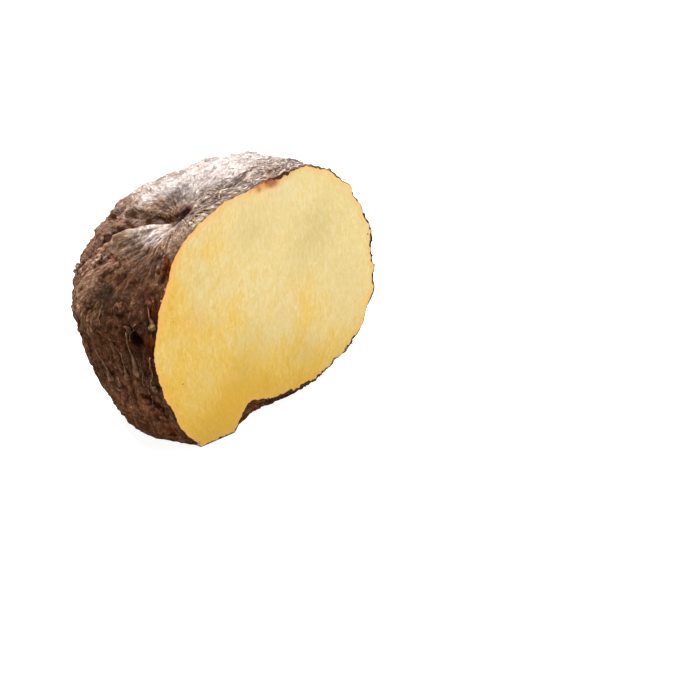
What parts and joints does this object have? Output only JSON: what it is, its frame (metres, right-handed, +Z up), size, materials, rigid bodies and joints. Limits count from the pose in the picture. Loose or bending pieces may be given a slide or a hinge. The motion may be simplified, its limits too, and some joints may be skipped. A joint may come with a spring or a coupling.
{
  "type": "elephant foot yam corm with one cut face",
  "caption": "Large rough-skinned corm, sliced once and standing on its base, with a flat cut face, a bud bowl on top and raised root scars.",
  "frame": {"origin": "bottom centre of the corm's bounding box, on the surface that it stands on", "axes": "+Z up, -Y out of the flat cut face, +X to the right as one looks at the cut face"},
  "size_m": [0.1882, 0.1284, 0.1571],
  "materials": {
    "skin": "matte"
  },
  "bodies": {
    "root": {"corm": "skin"}
  },
  "joints": []
}
